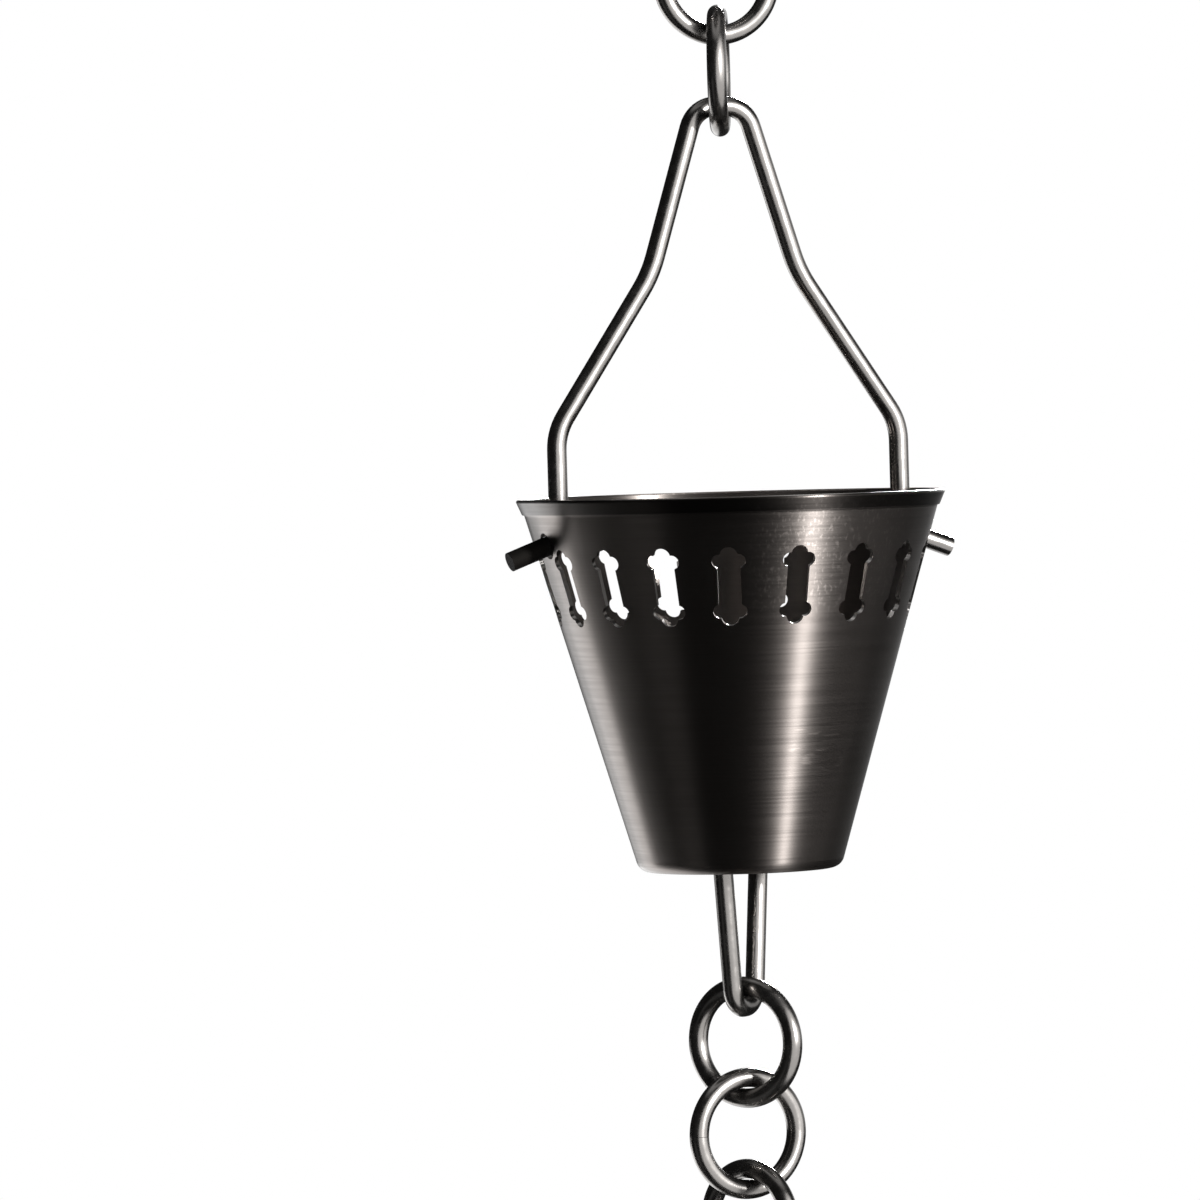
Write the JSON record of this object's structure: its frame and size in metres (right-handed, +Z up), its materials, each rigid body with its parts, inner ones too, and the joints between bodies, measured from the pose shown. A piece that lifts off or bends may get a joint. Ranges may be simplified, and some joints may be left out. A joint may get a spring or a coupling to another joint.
{
  "type": "rain chain",
  "caption": "Rain chain of pierced tapered metal cups hung on wire bails, loops and rings below a gutter hook, to lead roof water down.",
  "frame": {"origin": "middle of the gutter hook, at the level where its arms rest on the gutter floor", "axes": "+Z up along the chain; the chain hangs down -Z; -Y faces the viewer of the picture, +X is to the viewer's right"},
  "size_m": [0.1042, 0.0878, 0.7936],
  "materials": {
    "cup_metal": "black nickel over brushed sheet, satin",
    "wire_metal": "black nickel over drawn wire, bright satin"
  },
  "bodies": {
    "hook": {"gutter_hook": "wire_metal"},
    "ring_1a": {"ring_1a": "wire_metal"},
    "ring_1b": {"ring_1b": "wire_metal"},
    "ring_1c": {"ring_1c": "wire_metal"},
    "bail_1": {"bail_1": "wire_metal"},
    "cup_1": {"cup_1": "cup_metal", "loop_1": "wire_metal"},
    "ring_2a": {"ring_2a": "wire_metal"},
    "ring_2b": {"ring_2b": "wire_metal"},
    "ring_2c": {"ring_2c": "wire_metal"},
    "bail_2": {"bail_2": "wire_metal"},
    "cup_2": {"cup_2": "cup_metal", "loop_2": "wire_metal"},
    "ring_3a": {"ring_3a": "wire_metal"},
    "ring_3b": {"ring_3b": "wire_metal"},
    "ring_3c": {"ring_3c": "wire_metal"},
    "bail_3": {"bail_3": "wire_metal"},
    "cup_3": {"cup_3": "cup_metal", "loop_3": "wire_metal"},
    "ring_4a": {"ring_4a": "wire_metal"},
    "ring_4b": {"ring_4b": "wire_metal"}
  },
  "joints": [
    {"name": "ring_1a_swing", "type": "hinge", "parent": "hook", "child": "ring_1a", "pos_m": [0, 0, -0.04], "axis": [0.9336, 0.3584, 0], "range_deg": [-60, 60]},
    {"name": "ring_1b_swing", "type": "hinge", "parent": "ring_1a", "child": "ring_1b", "pos_m": [0, 0, -0.05875], "axis": [0.2588, -0.9659, 0], "range_deg": [-60, 60]},
    {"name": "ring_1c_swing", "type": "hinge", "parent": "ring_1b", "child": "ring_1c", "pos_m": [0, 0, -0.0775], "axis": [-0.9455, -0.3256, 0], "range_deg": [-60, 60]},
    {"name": "bail_1_swing", "type": "hinge", "parent": "ring_1c", "child": "bail_1", "pos_m": [0, 0, -0.09625], "axis": [0.7314, -0.682, 0], "range_deg": [-60, 60]},
    {"name": "cup_1_tilt", "type": "hinge", "parent": "bail_1", "child": "cup_1", "pos_m": [0, 0, -0.1807], "axis": [0.788, 0.6157, 0], "range_deg": [-45, 45]},
    {"name": "ring_2a_swing", "type": "hinge", "parent": "cup_1", "child": "ring_2a", "pos_m": [0, 0, -0.2767], "axis": [-0.9563, -0.2924, 0], "range_deg": [-60, 60]},
    {"name": "ring_2b_swing", "type": "hinge", "parent": "ring_2a", "child": "ring_2b", "pos_m": [0, 0, -0.29545], "axis": [0.2756, -0.9613, 0], "range_deg": [-60, 60]},
    {"name": "ring_2c_swing", "type": "hinge", "parent": "ring_2b", "child": "ring_2c", "pos_m": [0, 0, -0.3142], "axis": [-0.9563, -0.2924, 0], "range_deg": [-60, 60]},
    {"name": "bail_2_swing", "type": "hinge", "parent": "ring_2c", "child": "bail_2", "pos_m": [0, 0, -0.33295], "axis": [0.0349, 0.9994, 0], "range_deg": [-60, 60]},
    {"name": "cup_2_tilt", "type": "hinge", "parent": "bail_2", "child": "cup_2", "pos_m": [0, 0, -0.4174], "axis": [-0.9272, -0.3746, 0], "range_deg": [-45, 45]},
    {"name": "ring_3a_swing", "type": "hinge", "parent": "cup_2", "child": "ring_3a", "pos_m": [0, 0, -0.5134], "axis": [-0.4695, -0.8829, 0], "range_deg": [-60, 60]},
    {"name": "ring_3b_swing", "type": "hinge", "parent": "ring_3a", "child": "ring_3b", "pos_m": [0, 0, -0.53215], "axis": [-0.8387, 0.5446, 0], "range_deg": [-60, 60]},
    {"name": "ring_3c_swing", "type": "hinge", "parent": "ring_3b", "child": "ring_3c", "pos_m": [0, 0, -0.5509], "axis": [0.866, 0.5, 0], "range_deg": [-60, 60]},
    {"name": "bail_3_swing", "type": "hinge", "parent": "ring_3c", "child": "bail_3", "pos_m": [0, 0, -0.56965], "axis": [0.7071, -0.7071, 0], "range_deg": [-60, 60]},
    {"name": "cup_3_tilt", "type": "hinge", "parent": "bail_3", "child": "cup_3", "pos_m": [0, 0, -0.6541], "axis": [0.682, 0.7314, 0], "range_deg": [-45, 45]},
    {"name": "ring_4a_swing", "type": "hinge", "parent": "cup_3", "child": "ring_4a", "pos_m": [0, 0, -0.7501], "axis": [0.8829, 0.4695, 0], "range_deg": [-60, 60]},
    {"name": "ring_4b_swing", "type": "hinge", "parent": "ring_4a", "child": "ring_4b", "pos_m": [0, 0, -0.76885], "axis": [0.4384, -0.8988, 0], "range_deg": [-60, 60]}
  ]
}
